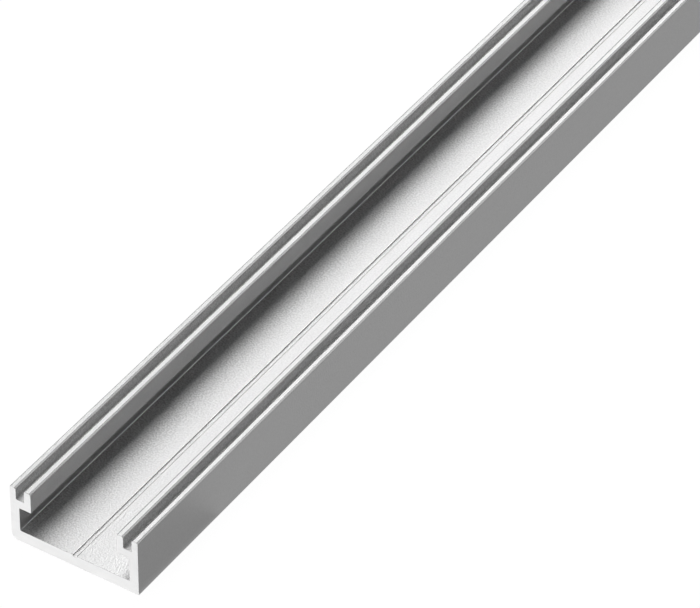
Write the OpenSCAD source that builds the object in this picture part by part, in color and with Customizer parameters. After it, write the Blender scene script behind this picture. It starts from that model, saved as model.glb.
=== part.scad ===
// Aluminium channel extrusion: one straight bar, sawn square at both ends.
// A flat base carries two side walls. Each wall folds inwards into a flange, and each flange
// carries an outer and an inner lip with a narrow slot between them, open upwards.
// The bar lies on its base. The origin is the centre of the underside, the length runs along Y,
// the width along X, and the slots open towards +Z.

/* [Bar] */
// Overall width of the section
width = 30; // [22:0.5:60]
// Overall height of the section
height = 13.5; // [11:0.5:30]
// Length of the bar
bar_length = 1000; // [50:10:3000]

/* [Walls] */
// Thickness of the base
base_thickness = 2.8; // [1.5:0.1:5]
// Thickness of the side walls, below the flanges
wall_thickness = 2.1; // [1.2:0.1:4]
// Thickness of the flanges, under the slots
flange_thickness = 2; // [1:0.1:4]

/* [Lips and slots] */
// Thickness of the outer lips, along the outside of the bar
outer_lip_thickness = 1.4; // [1:0.1:3]
// Thickness of the inner lips, along the mouth of the channel
inner_lip_thickness = 1.5; // [1:0.1:3]
// Width of the slot between an outer and an inner lip
slot_width = 2; // [1:0.1:4]
// Depth of the slot, down from the top of the lips
slot_depth = 2.9; // [1:0.1:5]
// Chamfer along both top edges of each lip
lip_chamfer = 0.3; // [0.1:0.05:0.45]

/* [Corners] */
// Radius of the outer corner under the left wall
left_base_radius = 1.4; // [0.2:0.1:2.5]
// Radius of the outer corner under the right wall
right_base_radius = 0.1; // [0.1:0.1:2.5]
// Radius of the corners inside the channel, below the flanges
channel_radius = 0.2; // [0.1:0.1:1]
// Radius of the corners at the bottom of the slots
slot_radius = 0.3; // [0.1:0.05:0.45]

/* [Centre groove] */
// Width of the marking groove along the middle of the channel floor
groove_width = 0.9; // [0.4:0.1:2]
// Depth of the marking groove
groove_depth = 0.4; // [0.1:0.05:1]

/* [Hidden] */

$fn = 48;
overlap = 0.2; // how far each cut runs past the face that it opens

half_width = width / 2;
flange_bottom = height - slot_depth - flange_thickness;
channel_height = flange_bottom - base_thickness;
channel_width = width - 2 * wall_thickness;
flange_reach = outer_lip_thickness + slot_width + inner_lip_thickness;
mouth_width = width - 2 * flange_reach;
slot_centre = half_width - outer_lip_thickness - slot_width / 2;

// What a radius takes off a square corner. The corner is at the origin, and the body lies
// towards +X and +Y from it.
module corner_waste(radius) {
    difference() {
        translate([-overlap, -overlap])
            square(radius + overlap);
        translate([radius, radius])
            circle(radius);
    }
}

// Rectangle centred on X that stands on Y = 0, with its lower corners rounded.
module round_bottomed(size, left_radius, right_radius) {
    difference() {
        translate([-size.x / 2, 0])
            square(size);
        translate([-size.x / 2, 0])
            corner_waste(left_radius);
        translate([size.x / 2, 0])
            mirror([1, 0])
                corner_waste(right_radius);
    }
}

// The channel's hollow below the flanges, with all four corners rounded.
module channel_hollow() {
    half_hollow = [channel_width, channel_height / 2];
    translate([0, base_thickness])
        union() {
            round_bottomed(half_hollow, channel_radius, channel_radius);
            translate([0, channel_height])
                mirror([0, 1])
                    round_bottomed(half_hollow, channel_radius, channel_radius);
        }
}

// The way into the channel between the inner lips.
module channel_mouth() {
    translate([-mouth_width / 2, flange_bottom - overlap])
        square([mouth_width, height - flange_bottom + 2 * overlap]);
}

// Slot between two lips, open at the top.
module slot_cut() {
    translate([0, height - slot_depth])
        round_bottomed([slot_width, slot_depth + overlap], slot_radius, slot_radius);
}

// What a chamfer takes off a top left edge. The edge is at the origin, and the body lies below
// it and towards +X from it.
module chamfer_cut() {
    polygon([
        [-overlap, overlap],
        [-overlap, -lip_chamfer - overlap],
        [lip_chamfer + overlap, overlap],
    ]);
}

// Both top edges of a lip whose left face is at X = 0.
module lip_chamfers(thickness) {
    chamfer_cut();
    translate([thickness, 0])
        mirror([1, 0])
            chamfer_cut();
}

// What is cut from the top of the left side: the slot, and the chamfers of its two lips.
module left_lip_cuts() {
    translate([-slot_centre, 0])
        slot_cut();
    translate([-half_width, height])
        lip_chamfers(outer_lip_thickness);
    translate([-mouth_width / 2 - inner_lip_thickness, height])
        lip_chamfers(inner_lip_thickness);
}

// The marking groove in the channel floor.
module groove_cut() {
    translate([-groove_width / 2, base_thickness - groove_depth])
        square([groove_width, groove_depth + overlap]);
}

module section() {
    difference() {
        round_bottomed([width, height], left_base_radius, right_base_radius);
        channel_hollow();
        channel_mouth();
        groove_cut();
        for (side = [0, 1])
            mirror([side, 0])
                left_lip_cuts();
    }
}

module channel_profile() {
    color("silver")
        rotate([90, 0, 0])
            linear_extrude(height = bar_length, center = true)
                section();
}

channel_profile();
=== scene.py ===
"""Looks of the aluminium channel extrusion: its detailed mesh, finish, light and camera."""
import math

import bpy
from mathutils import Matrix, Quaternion, Vector


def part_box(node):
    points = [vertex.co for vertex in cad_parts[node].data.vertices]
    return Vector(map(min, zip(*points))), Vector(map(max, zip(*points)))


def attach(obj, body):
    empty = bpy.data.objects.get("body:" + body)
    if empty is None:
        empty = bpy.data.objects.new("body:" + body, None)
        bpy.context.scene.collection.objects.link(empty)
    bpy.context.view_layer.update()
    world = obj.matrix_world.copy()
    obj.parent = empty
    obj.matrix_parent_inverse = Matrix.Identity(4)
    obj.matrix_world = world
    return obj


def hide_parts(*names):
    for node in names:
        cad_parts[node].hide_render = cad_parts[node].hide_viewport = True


MM = 0.001
NODE = "channel_profile"

# The section, in millimetres, as in the part's source.
BASE_THICKNESS = 2.8
WALL_THICKNESS = 2.1
FLANGE_THICKNESS = 2.0
OUTER_LIP_THICKNESS = 1.4
INNER_LIP_THICKNESS = 1.5
SLOT_WIDTH = 2.0
SLOT_DEPTH = 2.9
LIP_CHAMFER = 0.3
LEFT_BASE_RADIUS = 1.4
RIGHT_BASE_RADIUS = 0.1
CHANNEL_RADIUS = 0.2
SLOT_RADIUS = 0.3
GROOVE_WIDTH = 0.9
GROOVE_DEPTH = 0.4

# Edges that only this mesh has, in millimetres: what the die and the saw leave on nearly sharp
# ones, and what the photo shows softer or sharper than the source.
DIE_RADIUS = 0.06
LEFT_LIP_RADIUS = 0.3
LEFT_FLOOR_RADIUS = 0.12
GROOVE_CORNER_RADIUS = 0.03
RIGHT_GROOVE_RADIUS = 0.2
FLANGE_EDGE_RADIUS = 0.1
END_BEVEL = 0.025

# Lengths that the mesh is cut into along the bar.
ROWS = 50
# A face belongs to a flat of the section when its normal is this close to an axis.
FLAT = 0.99
# How far past the faces of a slot its finish, which carries painted shade, is looked for, in
# millimetres.
SLOT_MARGIN = 0.01

BODY, CHANNEL, SLOT, EDGE, END = range(5)

# The camera looks at a point on the floor line of the bar, past its near end.
LENS_MM = 228.3
VIEW_AZIMUTH = 32.23
VIEW_DIP = 39.52
VIEW_ROLL = 0.785
VIEW_DISTANCE = 0.9176
AIM_X = 0.0013
AIM_PAST_END = 0.0960

# The anodised finish: its shade, how far the shade strays from grain to grain, the height of
# the grain in metres, and the sizes of its noises, as waves to the metre.
BODY_SHADE = 0.80
# The slots' darker shade is painted shade in the recesses.
SLOT_PAINTED_SHADE = 0.71
BODY_SPECKLE = 0.015
SLOT_SPECKLE = 0.10
LEFT_FLOOR_SPECKLE = 0.13
MIDDLE_FLOOR_SPECKLE = 0.04
GRAIN_DEPTH = 0.00005
GRAIN_SCALE = 2600
SPECKLE_SCALE = 2700
DIE_LINE_SCALE = 900
# Where the speckle of the left floor starts to turn into that of its middle, and where it has.
FADE_START_X = -7.0 * MM
FADE_END_X = -1.0 * MM
# The other finishes. The edges' shade, lighter than the body's, is a painted highlight.
EDGE_PAINTED_HIGHLIGHT_SHADE = 0.9
EDGE_ROUGHNESS = 0.15
SAWN_SHADE = 0.87
SAW_MARK_SCALE = 1500
SAW_MARK_DEPTH = 0.000003

# Light, as the radiance that a white surface would need to look the same.
FLOOR_RADIANCE = 0.98
LEFT_RADIANCE = 0.2
TABLE_RADIANCE = 0.40
LEFT_TABLE_RADIANCE = 1.0
FRONT_RADIANCE = 1.27
FLAG_RADIANCE = 0.305
# The soft lights, on an arch over the bar: name, middle in degrees left of straight up, breadth
# in degrees, back and front end along Y, and radiance.
ARCH_RADIUS = 0.8
SOFTBOXES = [
    ("overhead", 7, 15, 1.1, -1.7, 3.1),
    ("upper_left", 20, 12, 1.1, -0.25, 2.62),
    ("left", 33, 14, 1.1, -0.25, 1.04),
    ("right", -56, 10, 0.8, 0.0, 0.57),
]
# The card beside the near end: its gap to the bar, its size, how far it reaches past the near
# end into the bar's length, and its height over the floor.
FLAG_GAP = 0.0005
FLAG_SIZE = (0.06, 0.067)
FLAG_REACH = 0.027
FLAG_HEIGHT = 0.0002


def rounded(corners):
    """The outline with each (x, z, radius) corner replaced by its arc, counterclockwise."""
    outline = []
    count = len(corners)
    for index, (x, z, radius) in enumerate(corners):
        corner = Vector((x, z))
        before = (Vector(corners[index - 1][:2]) - corner).normalized()
        after = (Vector(corners[(index + 1) % count][:2]) - corner).normalized()
        half_angle = before.angle(after) / 2
        centre = corner + (before + after).normalized() * (radius / math.sin(half_angle))
        start = corner + before * (radius / math.tan(half_angle)) - centre
        sweep = math.pi - 2 * half_angle
        turn = 1 if before.cross(after) < 0 else -1
        # An odd number of steps, so that the middle one faces halfway between both sides.
        steps = 2 * round(sweep / math.radians(90) * (1 + 4 * radius)) + 1
        for step in range(steps + 1):
            angle = turn * sweep * step / steps
            cos, sin = math.cos(angle), math.sin(angle)
            turned = Vector((start.x * cos - start.y * sin, start.x * sin + start.y * cos))
            outline.append(centre + turned)
    return outline


def lip_top(right, left, height):
    """The top of a lip: a flat chamfer at its right edge, a rounded left edge."""
    return [
        (right, height - LIP_CHAMFER, DIE_RADIUS),
        (right - LIP_CHAMFER, height, DIE_RADIUS),
        (left, height, LEFT_LIP_RADIUS),
    ]


def section_corners(width, height):
    """The corners of the section, counterclockwise from the left end of the underside."""
    half = width / 2
    lip_base = height - SLOT_DEPTH
    flange_bottom = lip_base - FLANGE_THICKNESS
    slot_outer = half - OUTER_LIP_THICKNESS
    slot_inner = slot_outer - SLOT_WIDTH
    mouth = slot_inner - INNER_LIP_THICKNESS
    wall = half - WALL_THICKNESS
    groove = GROOVE_WIDTH / 2
    groove_bottom = BASE_THICKNESS - GROOVE_DEPTH
    return [
        (-half, 0, LEFT_BASE_RADIUS),
        (half, 0, RIGHT_BASE_RADIUS),
        *lip_top(half, slot_outer, height),
        (slot_outer, lip_base, SLOT_RADIUS),
        (slot_inner, lip_base, SLOT_RADIUS),
        *lip_top(slot_inner, mouth, height),
        (mouth, flange_bottom, FLANGE_EDGE_RADIUS),
        (wall, flange_bottom, CHANNEL_RADIUS),
        (wall, BASE_THICKNESS, CHANNEL_RADIUS),
        (groove, BASE_THICKNESS, RIGHT_GROOVE_RADIUS),
        (groove, groove_bottom, GROOVE_CORNER_RADIUS),
        (-groove, groove_bottom, GROOVE_CORNER_RADIUS),
        (-groove, BASE_THICKNESS, GROOVE_CORNER_RADIUS),
        (-wall, BASE_THICKNESS, LEFT_FLOOR_RADIUS),
        (-wall, flange_bottom, CHANNEL_RADIUS),
        (-mouth, flange_bottom, FLANGE_EDGE_RADIUS),
        *lip_top(-mouth, -slot_inner, height),
        (-slot_inner, lip_base, SLOT_RADIUS),
        (-slot_outer, lip_base, SLOT_RADIUS),
        *lip_top(-slot_outer, -half, height),
    ]


def inset(outline, amount):
    """The outline moved inwards by that amount, point by point."""
    moved = []
    count = len(outline)
    for index, point in enumerate(outline):
        ahead = (outline[(index + 1) % count] - point).normalized()
        behind = (point - outline[index - 1]).normalized()
        normal = Vector((-ahead.y - behind.y, ahead.x + behind.x)).normalized()
        share = max(0.5, normal.dot(Vector((-ahead.y, ahead.x))))
        moved.append(point + normal * (amount / share))
    return moved


def finish_of(face, width, height):
    """Which of the bar's finishes a face along the bar has; the slot finish holds painted shade
    and the edge finish a painted highlight.
    """
    x, z = abs(face.center.x) / MM, face.center.z / MM
    slot_outer = width / 2 - OUTER_LIP_THICKNESS
    in_width = slot_outer - SLOT_WIDTH - SLOT_MARGIN < x < slot_outer + SLOT_MARGIN
    in_depth = height - SLOT_DEPTH - SLOT_MARGIN < z < height - LIP_CHAMFER
    if in_width and in_depth:
        return SLOT
    if max(abs(part) for part in face.normal) < FLAT:
        return EDGE
    if face.normal.z > FLAT and z < height / 2:
        return CHANNEL
    return BODY


def build_bar(low, high):
    """The bar as one closed mesh: the rounded section swept along Y, with its end edges broken."""
    width, height = (high.x - low.x) / MM, (high.z - low.z) / MM
    outline = rounded(section_corners(width, height))
    end_outline = inset(outline, END_BEVEL)
    start, end = low.y + END_BEVEL * MM, high.y - END_BEVEL * MM
    stations = [(low.y, end_outline)]
    stations += [(start + (end - start) * row / ROWS, outline) for row in range(ROWS + 1)]
    stations += [(high.y, end_outline)]
    vertices = [(point.x * MM, y, point.y * MM) for y, points in stations for point in points]
    count = len(outline)
    faces = []
    for row in range(len(stations) - 1):
        here, there = row * count, (row + 1) * count
        for index in range(count):
            after = (index + 1) % count
            faces.append((here + index, there + index, there + after, here + after))
    sides = len(faces)
    last = (len(stations) - 1) * count
    faces.append(tuple(range(count)))
    faces.append(tuple(reversed(range(last, last + count))))
    mesh = bpy.data.meshes.new("bar")
    mesh.from_pydata(vertices, [], faces)
    mesh.validate()
    for face in mesh.polygons:
        face.material_index = END if face.index >= sides else finish_of(face, width, height)
    mesh.update()
    bar = bpy.data.objects.new("bar", mesh)
    bpy.context.scene.collection.objects.link(bar)
    return bar


def new_material(name, shade):
    """A material of that grey shade, with its node tree and its shader."""
    material = bpy.data.materials.new(name)
    material.use_nodes = True
    shader = material.node_tree.nodes["Principled BSDF"]
    shader.inputs["Base Color"].default_value = (shade, shade, shade, 1)
    return material, material.node_tree, shader


def axes_of(tree, output):
    """X, Y and Z of that output of the texture coordinates."""
    place = tree.nodes.new("ShaderNodeTexCoord")
    axes = tree.nodes.new("ShaderNodeSeparateXYZ")
    tree.links.new(place.outputs[output], axes.inputs["Vector"])
    return axes.outputs["X"], axes.outputs["Y"], axes.outputs["Z"]


def noise(tree, scale, detail, stretch):
    """A noise in metres of the bar's own space, with its vector scaled by stretch."""
    place = tree.nodes.new("ShaderNodeTexCoord")
    mapping = tree.nodes.new("ShaderNodeMapping")
    mapping.inputs["Scale"].default_value = stretch
    texture = tree.nodes.new("ShaderNodeTexNoise")
    texture.inputs["Scale"].default_value = scale
    texture.inputs["Detail"].default_value = detail
    tree.links.new(place.outputs["Object"], mapping.inputs["Vector"])
    tree.links.new(mapping.outputs["Vector"], texture.inputs["Vector"])
    return texture.outputs["Fac"]


def map_range(tree, value, start, end, low, high):
    """The value's range start to end taken to low to high, which may be numbers or outputs."""
    node = tree.nodes.new("ShaderNodeMapRange")
    node.inputs["From Min"].default_value = start
    node.inputs["From Max"].default_value = end
    for socket, bound in ((node.inputs["To Min"], low), (node.inputs["To Max"], high)):
        if isinstance(bound, float):
            socket.default_value = bound
        else:
            tree.links.new(bound, socket)
    tree.links.new(value, node.inputs["Value"])
    return node.outputs["Result"]


def spread(tree, value, low, high):
    """A noise, which is mostly between 0.3 and 0.7, taken to low to high."""
    return map_range(tree, value, 0.3, 0.7, low, high)


def bump(tree, height, distance):
    node = tree.nodes.new("ShaderNodeBump")
    node.inputs["Distance"].default_value = distance
    node.inputs["Strength"].default_value = 1.0
    tree.links.new(height, node.inputs["Height"])
    return node.outputs["Normal"]


def anodised_finish(name, shade, left_speckle, right_speckle):
    """Finely blasted, clear anodised aluminium with faint lines along the bar from the die.

    The speckle is how far its shade strays, at the left wall and from the middle rightwards."""
    material, tree, shader = new_material(name, shade)
    shader.inputs["Metallic"].default_value = 1.0
    grain = noise(tree, GRAIN_SCALE, 0, (1.3, 1, 1))
    specks = noise(tree, SPECKLE_SCALE, 0, (1, 1.1, 1.2))
    lines = noise(tree, DIE_LINE_SCALE, 3, (1, 0.004, 1))
    x = axes_of(tree, "Object")[0]
    fade = (FADE_START_X, FADE_END_X)
    darkest = map_range(tree, x, *fade, shade - left_speckle, shade - right_speckle)
    lightest = map_range(tree, x, *fade, shade + left_speckle, shade + right_speckle)
    tree.links.new(spread(tree, specks, darkest, lightest), shader.inputs["Base Color"])
    tree.links.new(spread(tree, lines, 0.49, 0.51), shader.inputs["Roughness"])
    tree.links.new(bump(tree, grain, GRAIN_DEPTH), shader.inputs["Normal"])
    return material


def edge_finish_and_painted_highlight():
    """The smoother metal of the chamfers and rounded edges, with a lighter shade than the body's
    that is a painted highlight.
    """
    material, _, shader = new_material("edge_painted_highlight", EDGE_PAINTED_HIGHLIGHT_SHADE)
    shader.inputs["Metallic"].default_value = 1.0
    shader.inputs["Roughness"].default_value = EDGE_ROUGHNESS
    return material


def sawn_finish():
    """The bare metal of a fine saw cut."""
    material, tree, shader = new_material("sawn_aluminium", SAWN_SHADE)
    shader.inputs["Metallic"].default_value = 1.0
    marks = noise(tree, SAW_MARK_SCALE, 2, (0.15, 1, 1))
    tree.links.new(spread(tree, marks, 0.5, 0.6), shader.inputs["Roughness"])
    tree.links.new(bump(tree, marks, SAW_MARK_DEPTH), shader.inputs["Normal"])
    return material


def add_plane(name, size, place, finish, shade, radiance):
    """A level matt plane that also shines evenly by itself and lights nothing by bounces."""
    bpy.ops.mesh.primitive_plane_add(size=1, location=place)
    plane = bpy.context.object
    plane.name = name
    plane.scale = (*size, 1)
    plane.visible_diffuse = False
    material, _, shader = new_material(finish, shade)
    shader.inputs["Roughness"].default_value = 1.0
    shader.inputs["Specular IOR Level"].default_value = 0.0
    shader.inputs["Emission Color"].default_value = (1, 1, 1, 1)
    shader.inputs["Emission Strength"].default_value = radiance
    plane.data.materials.append(material)
    return plane


def add_floor():
    floor = add_plane("floor", (12, 12), (0, 0, 0), "pale_floor", 0.06, FLOOR_RADIANCE)
    floor.visible_glossy = False


def add_flag(side, near_end):
    """A grey card on the floor beside the near end, seen only in reflections: it dims the outer
    right side there."""
    centre = (
        side + FLAG_GAP + FLAG_SIZE[0] / 2,
        near_end + FLAG_REACH - FLAG_SIZE[1] / 2,
        FLAG_HEIGHT,
    )
    flag = add_plane("flag", FLAG_SIZE, centre, "flag_card", 0.0, FLAG_RADIANCE)
    flag.visible_camera = False
    flag.visible_shadow = False


def add_softbox(name, angle, breadth, back, front, radiance):
    """A soft light along the bar; SOFTBOXES says what each value is."""
    width = 2 * ARCH_RADIUS * math.tan(math.radians(breadth / 2))
    length = back - front
    light = bpy.data.lights.new(name, "AREA")
    light.shape = "RECTANGLE"
    light.size, light.size_y = width, length
    light.energy = math.pi * width * length * radiance
    tilt = math.radians(angle)
    across, up = -ARCH_RADIUS * math.sin(tilt), ARCH_RADIUS * math.cos(tilt)
    lamp = bpy.data.objects.new(name, light)
    lamp.location = (across, (back + front) / 2, up)
    lamp.rotation_euler = (0, -tilt, 0)
    bpy.context.scene.collection.objects.link(lamp)


def add_world():
    """The studio around the bar. Above the horizon it is dark, with a weak glow on the left.
    Below, it is a grey table, brighter on the left and brightest in front of the near end."""
    world = bpy.data.worlds.new("studio")
    bpy.context.scene.world = world
    world.use_nodes = True
    tree = world.node_tree
    across, along, up = axes_of(tree, "Generated")
    room = map_range(tree, across, 0.0, -0.7, 0.0, LEFT_RADIANCE)
    sides = map_range(tree, across, 0.0, -0.4, TABLE_RADIANCE, LEFT_TABLE_RADIANCE)
    table = map_range(tree, along, 0.0, -0.6, sides, FRONT_RADIANCE)
    background = tree.nodes["Background"]
    background.inputs["Color"].default_value = (1, 1, 1, 1)
    tree.links.new(map_range(tree, up, 0.05, -0.05, room, table), background.inputs["Strength"])


def add_camera(near_end):
    azimuth, dip = math.radians(VIEW_AZIMUTH), math.radians(VIEW_DIP)
    level = Vector((-math.sin(azimuth), math.cos(azimuth), 0))
    forward = level * math.cos(dip) - Vector((0, 0, math.sin(dip)))
    roll = Quaternion((0, 0, 1), math.radians(VIEW_ROLL))
    camera = bpy.data.objects.new("camera", bpy.data.cameras.new("camera"))
    camera.data.lens = LENS_MM
    camera.location = Vector((AIM_X, near_end + AIM_PAST_END, 0)) - forward * VIEW_DISTANCE
    camera.rotation_mode = "QUATERNION"
    camera.rotation_quaternion = forward.to_track_quat("-Z", "Y") @ roll
    bpy.context.scene.collection.objects.link(camera)
    bpy.context.scene.camera = camera


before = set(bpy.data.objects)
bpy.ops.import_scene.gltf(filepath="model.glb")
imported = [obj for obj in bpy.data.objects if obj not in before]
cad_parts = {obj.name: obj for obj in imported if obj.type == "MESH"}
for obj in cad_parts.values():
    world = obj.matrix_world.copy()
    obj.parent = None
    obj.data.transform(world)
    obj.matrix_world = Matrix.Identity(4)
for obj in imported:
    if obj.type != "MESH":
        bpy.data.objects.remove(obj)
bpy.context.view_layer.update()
low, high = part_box(NODE)

add_camera(low.y)
add_world()
add_floor()
add_flag(high.x, low.y)
for softbox in SOFTBOXES:
    add_softbox(*softbox)
bpy.context.scene.view_settings.view_transform = "Standard"

bar = build_bar(low, high)
for material in (
    anodised_finish("anodised_aluminium", BODY_SHADE, BODY_SPECKLE, BODY_SPECKLE),
    anodised_finish("channel_floor", BODY_SHADE, LEFT_FLOOR_SPECKLE, MIDDLE_FLOOR_SPECKLE),
    # The slots' darker shade is painted shade in the recesses.
    anodised_finish("slot", SLOT_PAINTED_SHADE, SLOT_SPECKLE, SLOT_SPECKLE),
    # The edges: smoother metal, with a painted highlight in their lighter shade.
    edge_finish_and_painted_highlight(),
    sawn_finish(),
):
    bar.data.materials.append(material)
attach(bar, "root")
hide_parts(NODE)
